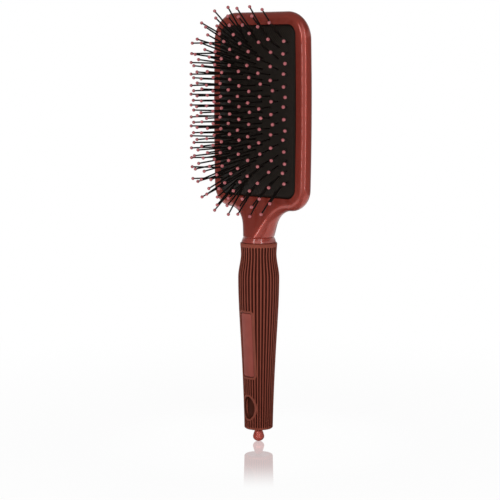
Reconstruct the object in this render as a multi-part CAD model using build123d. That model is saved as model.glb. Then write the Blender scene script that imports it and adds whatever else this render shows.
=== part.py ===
"""Paddle brush for a hair salon: painted head with a pneumatic cushion, pin field,
rubber grip, and a sectioning pick that slides out of the foot of the handle.

Millimetres. +Z runs up the handle to the head, the pins point to -Y and X is the width.
The origin is on the handle's axis, half way up the rubber grip.
"""
import os
from math import acos, atan2, cos, pi, radians, sin, sqrt

from build123d import *

# ---- driving dimensions ----------------------------------------------------

# rubber grip
GRIP_LENGTH = 109.6
GRIP_FOOT_R = 8.35
GRIP_TAPER_R = 10.15
GRIP_BELLY_R = 12.0
GRIP_WAIST_R = 10.35
GRIP_RIM_R = 10.75
GRIP_BELLY_DOWN = 20.3
GRIP_WAIST_DOWN = 6.6
GRIP_TAPER_SHARE = 0.52
GRIP_FOOT_ROUND = 0.9
GRIP_RIM_ROUND = 0.4
RIB_COUNT = 36
RIB_DEPTH = 0.45
GROOVE_WIDTH = 0.8
RIB_TOP_BAND = 2.0
RIB_FOOT_BAND = 1.2
WINDOW_RIM = 1.0

# stiff core inside the grip
CORE_FOOT_R = 6.3
CORE_TOP_R = 8.3

# label plate in its window
LABEL_WIDTH = 9.0
LABEL_HEIGHT = 38.2
LABEL_CORNER_R = 1.5
LABEL_UP = 31.3
LABEL_THICKNESS = 1.1
LABEL_SUNK = 0.25

# oval recess
RECESS_WIDTH = 8.2
RECESS_HEIGHT = 13.4
RECESS_UP = 6.4
RECESS_FLOOR_WALL = 0.9

# collar ring and tang
COLLAR_HEIGHT = 3.5
COLLAR_FOOT_R = 10.05
COLLAR_TOP_R = 9.05
COLLAR_BULGE_SHARE = 0.65
COLLAR_BULGE_UP = 0.6
TANG_R = 5.5
TANG_LENGTH = 18.0

# head
HEAD_HEIGHT = 112.8
HEAD_HALF_WIDTH = 37.3
HEAD_THICKNESS = 8.24
HEAD_SET_BACK = 2.43
HEAD_TOP_CORNER_R = 16.4
HEAD_FOOT_CORNER_R = 12.6
HEAD_SIDE_BOW = 1.0
HEAD_BACK_WALL = 2.15
NECK_HEIGHT = 16.1
NECK_SIDE_ANGLE = 18.0
NECK_FILLET_R = 14.0
NECK_THIN_HEIGHT = 27.0
NECK_THIN_POWER = 1.8
NECK_INSET = 0.03
NECK_SIDE_SHARES = (0.0, 0.4, 0.8)
NECK_FILLET_STEPS = 6
FOOT_CORNER_STEPS = 7
EDGE_LAND = 0.02

# cushion and its seat in the head
MOUTH_HALF_WIDTH = 30.2
MOUTH_HEIGHT = 98.3
MOUTH_CORNER_R = 6.0
MOUTH_BOW = 0.7
MOUTH_DOWN = 7.5
LIP_THICKNESS = 1.6
LIP_REACH = 2.3
FLANGE_THICKNESS = 1.2
MEMBRANE = 1.3
DOME_RISE = 11.65
DOME_POWER_ACROSS = 2.0
DOME_POWER_ALONG = 5.0
DOME_STEPS_ACROSS = 12
DOME_STEPS_ALONG = 20

# pins
PIN_COLUMNS = 13
PIN_COLUMN_PITCH = 4.3
PIN_PITCH = 6.05
PINS_IN_MIDDLE_COLUMN = 16
PINS_IN_OUTER_COLUMN = 14
PIN_LENGTH = 18.5
PIN_ROOT_R = 0.52
PIN_TIP_R = 0.42
PIN_FLANGE_R = 1.05
PIN_FLANGE_GAP = 0.5
PIN_FLANGE_THICKNESS = 0.5
PIN_LEAN_ACROSS = 39.2
PIN_LEAN_ALONG = 48.8
PIN_LEAN_POWER = 3.0
PIN_LEAN_FADE_POWER = 5.6
PIN_END_LOSS = 0.9
PIN_END_LOSS_SPARED = 0.88
PIN_END_LOSS_POWER = 4.0
PIN_UNEVEN = 2.0
PIN_UNEVEN_BY_COLUMN = 2.4
PIN_UNEVEN_BY_ROW = 4.1
BALL_R = 0.95
BACKING_THICKNESS = 1.0
BACKING_BEHIND = 3.7
PAD_TRAVEL = 3.0

# sectioning pick
PICK_TRAVEL = 45.0
ROD_R = 1.1
ROD_IN_KNOB = 4.5
KNOB_R = 3.35
KNOB_NECK_R = 2.2
KNOB_LENGTH = 8.0
STOP_LENGTH = 6.0
TUBE_BORE_R = 1.95
TUBE_WALL = 0.4
PLUG_FLANGE = 1.4
PLUG_SPIGOT_R = 3.4
PLUG_SPIGOT_LENGTH = 4.0
RING_SECTION_R = 0.45
RING_SEAT_SPARE = 0.08

# clearances
SEAT = 0.05
RUNNING = 0.05
SOFT_GAP = 0.3
STEP = 0.3

# ---- places worked out from them -------------------------------------------

GRIP_TOP = GRIP_LENGTH / 2
GRIP_FOOT = -GRIP_LENGTH / 2
COLLAR_TOP = GRIP_TOP + COLLAR_HEIGHT
HEAD_FOOT = COLLAR_TOP + NECK_HEIGHT
HEAD_TOP = HEAD_FOOT + HEAD_HEIGHT
HEAD_MIDDLE = (HEAD_FOOT + HEAD_TOP) / 2
FRONT_Y = HEAD_SET_BACK - HEAD_THICKNESS / 2
BACK_Y = HEAD_SET_BACK + HEAD_THICKNESS / 2
MOUTH_TOP = HEAD_TOP - MOUTH_DOWN
MOUTH_MIDDLE = MOUTH_TOP - MOUTH_HEIGHT / 2
POCKET_FLOOR_Y = BACK_Y - HEAD_BACK_WALL
GROOVE_Y = FRONT_Y + LIP_THICKNESS
PLUG_TOP = GRIP_FOOT + PLUG_FLANGE + PLUG_SPIGOT_LENGTH
STOP_FOOT = PLUG_TOP + STEP + PICK_TRAVEL
TUBE_TOP = STOP_FOOT + STOP_LENGTH + 2 * STEP
TUBE_R = TUBE_BORE_R + TUBE_WALL
CORE_FOOT = GRIP_FOOT + PLUG_FLANGE
RECESS_FLOOR_R = TUBE_R + SEAT + RECESS_FLOOR_WALL


def save(node, shape):
    """Write one node's STEP file."""
    shape.label = node
    export_step(shape, f"parts/{node}.step")


def on_axis(radius, low, high, top_radius=None):
    """Round bar or cone on the handle's axis, from one height to another."""
    top_radius = radius if top_radius is None else top_radius
    bar = Cone(radius, top_radius, high - low) if top_radius != radius else Cylinder(radius, high - low)
    return Pos(0, 0, (low + high) / 2) * bar


def facing_front(sketch, y, depth):
    """Extrude a sketch drawn in X and Z from the plane at y, back along +Y."""
    plane = Plane(origin=(0, y, 0), x_dir=(1, 0, 0), z_dir=(0, -1, 0))
    return extrude(plane * sketch, -depth)


# ---- head -------------------------------------------------------------------


def side_circle():
    """Radius and centre X of the big circle that the head's side follows."""
    half = HEAD_HEIGHT / 2
    radius = (half * half + HEAD_SIDE_BOW * HEAD_SIDE_BOW) / (2 * HEAD_SIDE_BOW)
    return radius, HEAD_HALF_WIDTH - radius


def foot_corner():
    """Centre of the head's lower corner circle, which touches the side circle inside."""
    radius, centre_x = side_circle()
    z = HEAD_FOOT + HEAD_FOOT_CORNER_R
    x = centre_x + sqrt((radius - HEAD_FOOT_CORNER_R) ** 2 - (HEAD_MIDDLE - z) ** 2)
    return x, z


def neck_fillet():
    """Centre of the circle between the neck's side line and the lower corner circle."""
    angle = radians(NECK_SIDE_ANGLE)
    along = (sin(angle), cos(angle))
    start = (
        COLLAR_TOP_R + NECK_FILLET_R * cos(angle),
        COLLAR_TOP - NECK_FILLET_R * sin(angle),
    )
    corner_x, corner_z = foot_corner()
    gap = (corner_x - start[0], corner_z - start[1])
    reach = HEAD_FOOT_CORNER_R + NECK_FILLET_R
    middle = gap[0] * along[0] + gap[1] * along[1]
    travel = middle - sqrt(middle * middle - gap[0] ** 2 - gap[1] ** 2 + reach * reach)
    return start[0] + travel * along[0], start[1] + travel * along[1], travel


def neck_outline():
    """Half widths of the neck and the head's foot, as (height, half width) pairs."""
    angle = radians(NECK_SIDE_ANGLE)
    fillet_x, fillet_z, travel = neck_fillet()
    corner_x, corner_z = foot_corner()
    _, side_x = side_circle()
    pairs = [
        (COLLAR_TOP + share * travel * cos(angle), COLLAR_TOP_R + share * travel * sin(angle))
        for share in NECK_SIDE_SHARES
    ]
    meet = atan2(corner_z - fillet_z, corner_x - fillet_x)
    first = pi - angle
    for step in range(NECK_FILLET_STEPS + 1):
        turn = first + (meet - first) * step / NECK_FILLET_STEPS
        pairs.append((fillet_z + NECK_FILLET_R * sin(turn), fillet_x + NECK_FILLET_R * cos(turn)))
    first = meet - pi
    last = atan2(corner_z - HEAD_MIDDLE, corner_x - side_x)
    for step in range(1, FOOT_CORNER_STEPS + 1):
        turn = first + (last - first) * step / FOOT_CORNER_STEPS
        pairs.append((corner_z + HEAD_FOOT_CORNER_R * sin(turn), corner_x + HEAD_FOOT_CORNER_R * cos(turn)))
    return pairs


def neck_section(z, half_width):
    """Cross-section of the neck at one height: round at the collar, flat at the head."""
    share = max(0.0, 1.0 - (z - COLLAR_TOP) / NECK_THIN_HEIGHT)
    thinning = share**NECK_THIN_POWER
    half_depth = HEAD_THICKNESS / 2 + (COLLAR_TOP_R - HEAD_THICKNESS / 2) * thinning
    centre_y = HEAD_SET_BACK * (1.0 - thinning)
    half_depth = min(half_depth, half_width) - NECK_INSET
    half_width += EDGE_LAND - NECK_INSET
    plane = Plane(origin=(0, centre_y, z), x_dir=(1, 0, 0), z_dir=(0, 0, 1))
    return plane * RectangleRounded(2 * half_width, 2 * half_depth, half_depth - EDGE_LAND)


def bowed_panel(half_width, height, middle, bow, corners):
    """Upright panel with bowed sides and round corners; corners maps 'foot' and 'top'."""
    half = height / 2
    low, high = middle - half, middle + half
    edge = half_width - bow
    outline = [
        Line((-edge, low), (edge, low)),
        ThreePointArc((edge, low), (half_width, middle), (edge, high)),
        Line((edge, high), (-edge, high)),
        ThreePointArc((-edge, high), (-half_width, middle), (-edge, low)),
    ]
    panel = make_face(outline)
    by_height = panel.vertices().sort_by(Axis.Y)
    foot, top = by_height[:2], by_height[2:]
    panel = fillet(foot, corners["foot"])
    top = panel.vertices().sort_by(Axis.Y)[-2:]
    return fillet(top, corners["top"])


def mouth_panel(grow=0.0):
    """Outline of the cushion's mouth in the head, grown or shrunk by an even margin."""
    corners = {"foot": MOUTH_CORNER_R, "top": MOUTH_CORNER_R}
    panel = bowed_panel(MOUTH_HALF_WIDTH, MOUTH_HEIGHT, MOUTH_MIDDLE, MOUTH_BOW, corners)
    return offset(panel, grow) if grow else panel


def head_plate(joint):
    """Head above the joint height, with its edge rounded all the way round."""
    corners = {"foot": HEAD_FOOT_CORNER_R, "top": HEAD_TOP_CORNER_R}
    panel = bowed_panel(HEAD_HALF_WIDTH, HEAD_HEIGHT, HEAD_MIDDLE, HEAD_SIDE_BOW, corners)
    plate = facing_front(panel, FRONT_Y, HEAD_THICKNESS)
    rims = plate.faces().sort_by(Axis.Y)
    edges = rims[0].edges() + rims[-1].edges()
    plate = fillet(edges, HEAD_THICKNESS / 2 - EDGE_LAND)
    cutter = Pos(0, HEAD_SET_BACK, joint - HEAD_HEIGHT) * Box(
        4 * HEAD_HALF_WIDTH, 4 * HEAD_THICKNESS, 2 * HEAD_HEIGHT
    )
    return plate - cutter


def paddle_body():
    """Head, neck and tang in one moulding, with the cushion's pocket and groove."""
    outline = neck_outline()
    neck = loft([neck_section(z, half_width) for z, half_width in outline])
    body = neck + head_plate(outline[-1][0] - STEP)
    body += on_axis(TANG_R, GRIP_TOP - TANG_LENGTH, COLLAR_TOP + STEP)
    body -= facing_front(mouth_panel(), FRONT_Y - HEAD_THICKNESS, HEAD_THICKNESS + POCKET_FLOOR_Y - FRONT_Y)
    body -= facing_front(mouth_panel(LIP_REACH), GROOVE_Y, FLANGE_THICKNESS + 2 * SEAT)
    return body


# ---- cushion ----------------------------------------------------------------


def dome_rise(x, z):
    """How far the cushion stands in front of the head at one place."""
    across = min(1.0, abs(x) / MOUTH_HALF_WIDTH)
    along = min(1.0, abs(z - MOUTH_MIDDLE) / (MOUTH_HEIGHT / 2))
    return DOME_RISE * (1 - across**DOME_POWER_ACROSS) * (1 - along**DOME_POWER_ALONG)


def dome_shell(behind, thickness):
    """Curved sheet of even depth that lies behind the cushion's face."""
    points = []
    for j in range(DOME_STEPS_ALONG + 1):
        z = MOUTH_MIDDLE + MOUTH_HEIGHT * (j / DOME_STEPS_ALONG - 0.5)
        row = []
        for i in range(DOME_STEPS_ACROSS + 1):
            x = MOUTH_HALF_WIDTH * (2 * i / DOME_STEPS_ACROSS - 1)
            row.append((x, FRONT_Y + behind - dome_rise(x, z), z))
        points.append(row)
    face = Face.make_surface_from_array_of_points(points, tol=0.02, min_deg=3, max_deg=5)
    return Solid.extrude(face, Vector(0, thickness, 0))


def cushion():
    """Domed rubber membrane with a wall down into the pocket and a flange in the groove."""
    edge = mouth_panel(-SEAT)
    prism = facing_front(edge, FRONT_Y - 2 * DOME_RISE, 2 * DOME_RISE + HEAD_THICKNESS)
    pad = dome_shell(0.0, MEMBRANE) & prism
    foot_y = GROOVE_Y + SEAT + FLANGE_THICKNESS
    inside = mouth_panel(-SEAT - MEMBRANE)
    wall_front = FRONT_Y + MEMBRANE / 2
    pad += facing_front(edge - inside, wall_front, foot_y - wall_front)
    flange = mouth_panel(LIP_REACH - SEAT) - inside
    pad += facing_front(flange, GROOVE_Y + SEAT, FLANGE_THICKNESS)
    hole = Pos(0, 0, -MEMBRANE) * Cylinder(PIN_ROOT_R + RUNNING, 4 * MEMBRANE)
    return pad - [place * hole for place in pin_places()]


def pad_backing():
    """Foam sheet behind the pin flanges, cut flat where it would reach the pocket's floor."""
    outline = mouth_panel(-SEAT - MEMBRANE - SOFT_GAP)
    deepest = POCKET_FLOOR_Y - PAD_TRAVEL - SOFT_GAP
    front = FRONT_Y - 2 * DOME_RISE
    prism = facing_front(outline, front, deepest - front)
    return dome_shell(BACKING_BEHIND, BACKING_THICKNESS) & prism


# ---- pins -------------------------------------------------------------------


def pins_in_column(column):
    """How many pins a column holds: odd and even columns are staggered."""
    middle = (PIN_COLUMNS - 1) // 2
    if abs(column) == middle:
        return PINS_IN_OUTER_COLUMN
    return PINS_IN_MIDDLE_COLUMN - abs(column) % 2


def pin_direction(column, up):
    """Lean of a pin: outwards across the pad, up or down near its ends, and a little uneven."""
    side = column / ((PIN_COLUMNS - 1) / 2)
    share = up / (PIN_PITCH * (PINS_IN_MIDDLE_COLUMN - 1) / 2)
    near_end = abs(share) ** PIN_LEAN_POWER
    loss = PIN_END_LOSS * (1 - PIN_END_LOSS_SPARED * abs(side) ** PIN_END_LOSS_POWER)
    across = PIN_LEAN_ACROSS * side * (1 - loss * near_end)
    along = PIN_LEAN_ALONG * (1 - abs(side) ** PIN_LEAN_FADE_POWER) * near_end
    along = along if up > 0 else -along
    phase = PIN_UNEVEN_BY_COLUMN * column + PIN_UNEVEN_BY_ROW * up / PIN_PITCH
    across = radians(across + PIN_UNEVEN * sin(phase))
    along = radians(along + PIN_UNEVEN * sin(2 * phase))
    return sin(across) * cos(along), -cos(across) * cos(along), sin(along)


def column_places(column):
    """Where the pins of one column stand on the cushion's face, each along its lean."""
    count = pins_in_column(column)
    x = PIN_COLUMN_PITCH * column
    places = []
    for index in range(count):
        up = PIN_PITCH * (index - (count - 1) / 2)
        z = MOUTH_MIDDLE + up
        base = (x, FRONT_Y - dome_rise(x, z), z)
        plane = Plane(origin=base, x_dir=(0, 0, 1), z_dir=pin_direction(column, up))
        places.append(plane.location)
    return places


def pin_places():
    """Every pin's place on the cushion."""
    half = (PIN_COLUMNS - 1) // 2
    return [place for column in range(-half, half + 1) for place in column_places(column)]


def pin():
    """One nylon pin: tapered shaft, with its root and flange behind the membrane."""
    neck = -MEMBRANE - PIN_FLANGE_GAP
    heel = neck - PIN_FLANGE_THICKNESS
    tip = PIN_LENGTH - BALL_R
    shaft = Pos(0, 0, tip / 2) * Cone(PIN_ROOT_R, PIN_TIP_R, tip)
    root = Pos(0, 0, heel / 2) * Cylinder(PIN_ROOT_R, -heel)
    flange = Pos(0, 0, neck - PIN_FLANGE_THICKNESS / 2) * Cylinder(PIN_FLANGE_R, PIN_FLANGE_THICKNESS)
    return shaft + root + flange


def ball_tip():
    """One ball tip, with the socket that the shaft's end sits in."""
    ball = Pos(0, 0, PIN_LENGTH - BALL_R) * Sphere(BALL_R)
    socket = Pos(0, 0, PIN_LENGTH - 2 * BALL_R) * Cylinder(PIN_TIP_R + SEAT, 2 * BALL_R)
    return ball - socket


def pin_nodes():
    """Columns of pins and of tips, one node each."""
    half = (PIN_COLUMNS - 1) // 2
    one_pin, one_tip = pin(), ball_tip()
    nodes = {}
    for number, column in enumerate(range(-half, half + 1), start=1):
        places = column_places(column)
        nodes[f"pin_column_{number:02d}"] = Compound([place * one_pin for place in places])
        nodes[f"pin_tips_{number:02d}"] = Compound([place * one_tip for place in places])
    return nodes


# ---- handle -----------------------------------------------------------------


def grip_blank(inset=0.0):
    """Solid of revolution inside the rubber's outer surface, less an even inset."""
    belly_z = GRIP_TOP - GRIP_BELLY_DOWN
    taper_z = GRIP_FOOT + GRIP_TAPER_SHARE * (belly_z - GRIP_FOOT)
    slope = (GRIP_BELLY_R - GRIP_FOOT_R) / (belly_z - GRIP_FOOT)
    side = Spline(
        (GRIP_FOOT_R - inset, GRIP_FOOT),
        (GRIP_TAPER_R - inset, taper_z),
        (GRIP_BELLY_R - inset, belly_z),
        (GRIP_WAIST_R - inset, GRIP_TOP - GRIP_WAIST_DOWN),
        (GRIP_RIM_R - inset, GRIP_TOP),
        tangents=[(slope / 2, 1), (slope * 1.3, 1), (0, 1), (0, 1), (0, 1)],
    )
    foot = Line((0, GRIP_FOOT), side @ 0)
    top = Line(side @ 1, (0, GRIP_TOP))
    axis = Line((0, GRIP_TOP), (0, GRIP_FOOT))
    return revolve(Plane.XZ * make_face([foot, side, top, axis]), Axis.Z)


def label_prism(grow=0.0):
    """Upright rounded bar through the front of the grip where the label plate sits."""
    width, height = LABEL_WIDTH + 2 * grow, LABEL_HEIGHT + 2 * grow
    middle = GRIP_FOOT + LABEL_UP + LABEL_HEIGHT / 2
    panel = Pos(0, middle) * RectangleRounded(width, height, LABEL_CORNER_R + grow)
    return facing_front(panel, -2 * GRIP_BELLY_R, 2 * GRIP_BELLY_R)


def recess_prism(floor_r=RECESS_FLOOR_R, grow=0.0):
    """Upright oval bar through the front of the grip down to the recess's floor."""
    middle = GRIP_FOOT + RECESS_UP + RECESS_HEIGHT / 2
    oval = Pos(0, middle) * Ellipse(RECESS_WIDTH / 2 + grow, RECESS_HEIGHT / 2 + grow)
    return facing_front(oval, -2 * GRIP_BELLY_R, 2 * GRIP_BELLY_R - floor_r)


def core_space():
    """Space inside the rubber for the core and the end plug's flange."""
    space = on_axis(CORE_FOOT_R + SEAT, CORE_FOOT, GRIP_TOP, CORE_TOP_R + SEAT)
    return space + on_axis(CORE_FOOT_R + SEAT, GRIP_FOOT, CORE_FOOT)


def rib_grooves():
    """Straight grooves between the ribs, which stop at the rims of the two windows."""
    ring = on_axis(2 * GRIP_BELLY_R, GRIP_FOOT + RIB_FOOT_BAND, GRIP_TOP - RIB_TOP_BAND)
    slab = Pos(GRIP_BELLY_R, 0, 0) * Box(2 * GRIP_BELLY_R, GROOVE_WIDTH, 2 * GRIP_LENGTH)
    groove = (ring & slab) - grip_blank(RIB_DEPTH)
    rims = [label_prism(WINDOW_RIM), recess_prism(0.0, WINDOW_RIM)]
    turns = [(turn + 0.5) * 360 / RIB_COUNT for turn in range(RIB_COUNT)]
    return [Rot(0, 0, turn) * groove - rims for turn in turns]


def grip_sleeve():
    """Ribbed rubber sleeve with smooth rims round the label window and the recess."""
    blank = grip_blank()
    flats = blank.edges().filter_by(GeomType.CIRCLE).sort_by(Axis.Z)
    blank = fillet(flats[0], GRIP_FOOT_ROUND)
    flats = blank.edges().filter_by(GeomType.CIRCLE).sort_by(Axis.Z)
    blank = fillet(flats[-1], GRIP_RIM_ROUND)
    return blank - [*rib_grooves(), core_space(), label_prism(), recess_prism()]


def label_plate():
    """Bare label plate, a little lower than the rubber round it."""
    return (grip_blank(LABEL_SUNK) & label_prism(-SEAT)) - grip_blank(LABEL_SUNK + LABEL_THICKNESS)


def handle_core():
    """Stiff core with the tang's socket, the tube's bore and the label's boss."""
    core = on_axis(CORE_FOOT_R, CORE_FOOT, GRIP_TOP, CORE_TOP_R)
    core += grip_blank(LABEL_SUNK + LABEL_THICKNESS + SEAT) & label_prism(-SEAT)
    core -= on_axis(PLUG_SPIGOT_R + SEAT, CORE_FOOT - STEP, PLUG_TOP + SEAT)
    core -= on_axis(TUBE_R + SEAT, PLUG_TOP - STEP, TUBE_TOP + SEAT)
    core -= on_axis(TANG_R + SEAT, GRIP_TOP - TANG_LENGTH - STEP, GRIP_TOP + STEP)
    return core - recess_prism()


def collar_ring():
    """Flared ring between the neck and the rubber."""
    low, high = GRIP_TOP + SEAT, COLLAR_TOP - SEAT
    bulge_r = COLLAR_FOOT_R + (COLLAR_TOP_R - COLLAR_FOOT_R) * COLLAR_BULGE_SHARE
    bulge = (bulge_r, low + COLLAR_BULGE_UP * (high - low))
    outline = [
        Line((TANG_R + SEAT, low), (COLLAR_FOOT_R, low)),
        ThreePointArc((COLLAR_FOOT_R, low), bulge, (COLLAR_TOP_R, high)),
        Line((COLLAR_TOP_R, high), (TANG_R + SEAT, high)),
        Line((TANG_R + SEAT, high), (TANG_R + SEAT, low)),
    ]
    return revolve(Plane.XZ * make_face(outline), Axis.Z)


# ---- foot of the handle and the pick ----------------------------------------


def ring_place():
    """Radius of the friction ring's centre line, its gland's radius and its height."""
    centre_r = ROD_R + RUNNING / 2 + RING_SECTION_R
    gland_r = centre_r + RING_SECTION_R + RING_SEAT_SPARE
    return centre_r, gland_r, PLUG_TOP - SEAT - RING_SECTION_R


def end_plug():
    """Plug in the handle's foot, with the rod's bore and the friction ring's gland."""
    plug = on_axis(CORE_FOOT_R, GRIP_FOOT + SEAT, CORE_FOOT - SEAT)
    plug += on_axis(PLUG_SPIGOT_R, GRIP_FOOT + SEAT, PLUG_TOP)
    plug -= on_axis(ROD_R + RUNNING, GRIP_FOOT - STEP, PLUG_TOP + STEP)
    _, gland_r, _ = ring_place()
    return plug - on_axis(gland_r, PLUG_TOP - 2 * RING_SECTION_R - 2 * SEAT, PLUG_TOP + STEP)


def friction_ring():
    """Rubber ring that holds the pick where it is put."""
    centre_r, _, height = ring_place()
    return Pos(0, 0, height) * Torus(centre_r, RING_SECTION_R)


def pick_guide_tube():
    """Tube in the core that the pick's stop runs in."""
    low = PLUG_TOP + SEAT
    return on_axis(TUBE_R, low, TUBE_TOP) - on_axis(TUBE_BORE_R, low - STEP, TUBE_TOP + STEP)


def pick_stop():
    """Small piston on the rod's inner end."""
    low, high = STOP_FOOT, STOP_FOOT + STOP_LENGTH
    piston = on_axis(TUBE_BORE_R - RUNNING, low, high)
    return piston - on_axis(ROD_R + SEAT / 2, low - STEP, high + STEP)


def knob_joint():
    """Height of the knob's top face, just under the end plug."""
    return GRIP_FOOT - STEP


def pick_rod():
    """Steel rod of the sectioning pick."""
    return on_axis(ROD_R, knob_joint() - ROD_IN_KNOB, STOP_FOOT + STOP_LENGTH)


def pick_knob():
    """Drop-shaped pull on the pick's outer end: a cone that runs into a ball."""
    top = knob_joint()
    tip = GRIP_FOOT - KNOB_LENGTH
    wide = tip + KNOB_R
    rise = top - wide
    turn = atan2(rise, KNOB_NECK_R) - acos(KNOB_R / sqrt(KNOB_NECK_R**2 + rise**2))
    touch = (KNOB_R * cos(turn), wide + KNOB_R * sin(turn))
    lower = (turn - pi / 2) / 2
    outline = [
        Line((0, top), (KNOB_NECK_R, top)),
        Line((KNOB_NECK_R, top), touch),
        ThreePointArc(touch, (KNOB_R * cos(lower), wide + KNOB_R * sin(lower)), (0, tip)),
        Line((0, tip), (0, top)),
    ]
    knob = revolve(Plane.XZ * make_face(outline), Axis.Z)
    return knob - on_axis(ROD_R + SEAT / 2, top - ROD_IN_KNOB - SEAT, top + STEP)


def main():
    """Build every piece and write its STEP file."""
    os.makedirs("parts", exist_ok=True)
    nodes = {
        "paddle_body": paddle_body(),
        "cushion": cushion(),
        "pad_backing": pad_backing(),
        "collar_ring": collar_ring(),
        "grip_sleeve": grip_sleeve(),
        "handle_core": handle_core(),
        "label_plate": label_plate(),
        "end_plug": end_plug(),
        "friction_ring": friction_ring(),
        "pick_guide_tube": pick_guide_tube(),
        "pick_rod": pick_rod(),
        "pick_stop": pick_stop(),
        "pick_knob": pick_knob(),
    }
    nodes.update(pin_nodes())
    for node, shape in nodes.items():
        save(node, shape)


if __name__ == "__main__":
    main()
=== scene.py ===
"""Looks of the paddle brush: lacquered head, domed cushion, pins, ribbed grip and pick.

Metres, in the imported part's own frame: +Z runs up the handle, the pins point to -Y, X is
the width, and the origin is on the handle's axis half way up the rubber grip.
"""

import logging
from dataclasses import dataclass
from enum import Enum
from math import acos, atan2, cos, hypot, pi, radians, sin, sqrt
from typing import Callable

import bmesh
import bpy
from bmesh.types import BMEdge, BMesh, BMVert
from bpy.types import Material, NodeSocket, Object, World
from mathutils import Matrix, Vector


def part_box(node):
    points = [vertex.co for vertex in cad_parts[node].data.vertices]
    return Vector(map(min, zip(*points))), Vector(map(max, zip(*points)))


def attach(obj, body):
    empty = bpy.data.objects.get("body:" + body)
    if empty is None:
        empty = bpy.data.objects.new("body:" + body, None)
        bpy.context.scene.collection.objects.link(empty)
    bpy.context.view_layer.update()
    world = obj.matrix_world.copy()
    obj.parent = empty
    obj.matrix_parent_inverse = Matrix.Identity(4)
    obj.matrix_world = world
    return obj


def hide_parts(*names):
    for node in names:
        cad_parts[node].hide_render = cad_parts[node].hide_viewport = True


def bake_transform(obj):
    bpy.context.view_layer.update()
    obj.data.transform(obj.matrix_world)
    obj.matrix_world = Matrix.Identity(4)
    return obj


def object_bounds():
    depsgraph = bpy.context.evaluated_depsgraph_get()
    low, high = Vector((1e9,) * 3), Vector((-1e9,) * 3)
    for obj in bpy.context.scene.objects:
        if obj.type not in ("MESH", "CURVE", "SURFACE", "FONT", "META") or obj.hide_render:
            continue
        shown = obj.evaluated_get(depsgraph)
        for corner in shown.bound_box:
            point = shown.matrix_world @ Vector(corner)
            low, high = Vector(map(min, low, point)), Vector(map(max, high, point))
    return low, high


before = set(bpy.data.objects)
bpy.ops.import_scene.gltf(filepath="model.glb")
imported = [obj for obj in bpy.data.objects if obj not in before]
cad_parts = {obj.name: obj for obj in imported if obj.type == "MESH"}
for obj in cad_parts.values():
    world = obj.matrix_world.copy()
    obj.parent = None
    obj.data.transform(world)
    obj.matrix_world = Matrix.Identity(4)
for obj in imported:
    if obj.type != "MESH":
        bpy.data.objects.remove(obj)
cad_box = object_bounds()

MM = 0.001
MERGE = 1e-6  # points nearer than this are one
RIB_LAYER = "rib_depth"
LOG = logging.getLogger("paddle_brush")

Colour = tuple[float, float, float]
Pairs = list[tuple[float, float]]
Place = Callable[[float, float], Vector]
Spot = tuple[Vector, Vector]


class Body(Enum):
    """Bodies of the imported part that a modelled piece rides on."""

    PADDLE = "paddle"
    PAD = "pad"
    PICK = "pick"


# ---- small maths ----


def rgb(red: int, green: int, blue: int) -> Colour:
    """Turn a screen colour of 0 to 255 a channel into a linear one of 0 to 1."""
    shares = (channel / 255 for channel in (red, green, blue))
    return tuple(s / 12.92 if s <= 0.04045 else ((s + 0.055) / 1.055) ** 2.4 for s in shares)


def mix(first: float, last: float, share: float) -> float:
    """Number at a share of the way from first to last."""
    return first + (last - first) * share


def smooth(low: float, high: float, value: float) -> float:
    """Smooth step from 0 at low to 1 at high."""
    share = min(1.0, max(0.0, (value - low) / (high - low)))
    return share * share * (3 - 2 * share)


def spread(first: float, last: float, steps: int) -> list[float]:
    """Evenly spread numbers from first to last, both included."""
    return [mix(first, last, step / steps) for step in range(steps + 1)]


def past_panel(x: float, z: float, half_width: float, half_height: float, corner: float) -> float:
    """Distance of (x, z) outside a round-cornered panel about the origin, less than 0 inside it."""
    over_x = abs(x) - half_width + corner
    over_z = abs(z) - half_height + corner
    return hypot(max(0.0, over_x), max(0.0, over_z)) + min(0.0, max(over_x, over_z)) - corner


# ---- outlines in the XZ plane ----


@dataclass(frozen=True)
class Run:
    """Straight run of an outline, from one (x, z) point to another."""

    start: tuple[float, float]
    end: tuple[float, float]

    @property
    def length(self) -> float:
        """Length of the run."""
        return hypot(self.end[0] - self.start[0], self.end[1] - self.start[1])

    def at(self, share: float) -> Spot:
        """Point at a share of 0 to 1 of the run, and the unit vector to the left of the travel."""
        start, end = Vector(self.start), Vector(self.end)
        along = (end - start).normalized()
        return start.lerp(end, share), Vector((-along.y, along.x))


@dataclass(frozen=True)
class Arc:
    """Round stretch of an outline about an (x, z) centre, between two angles."""

    centre: tuple[float, float]
    radius: float
    start: float
    end: float

    @property
    def length(self) -> float:
        """Length of the stretch."""
        return abs(self.end - self.start) * self.radius

    def at(self, share: float) -> Spot:
        """Point at a share of 0 to 1 of the stretch, and the unit vector to the left of the travel."""
        turn = mix(self.start, self.end, share)
        spoke = Vector((cos(turn), sin(turn)))
        side = -1 if self.end > self.start else 1
        return Vector(self.centre) + self.radius * spoke, side * spoke


@dataclass(frozen=True)
class Outline:
    """Chain of runs and round stretches, each starting where the last one ends."""

    parts: tuple[Run | Arc, ...]

    @property
    def length(self) -> float:
        """Length of the whole chain."""
        return sum(part.length for part in self.parts)

    def within(self, index: int, share: float) -> float:
        """Distance along the chain at a share of one part, counted from 0."""
        return sum(part.length for part in self.parts[:index]) + share * self.parts[index].length

    def at(self, travel: float) -> Spot:
        """Point at a distance along the chain, and the unit vector to the left of the travel."""
        for part in self.parts[:-1]:
            if travel < part.length:
                return part.at(travel / part.length)
            travel -= part.length
        last = self.parts[-1]
        return last.at(min(1.0, travel / last.length))


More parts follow.
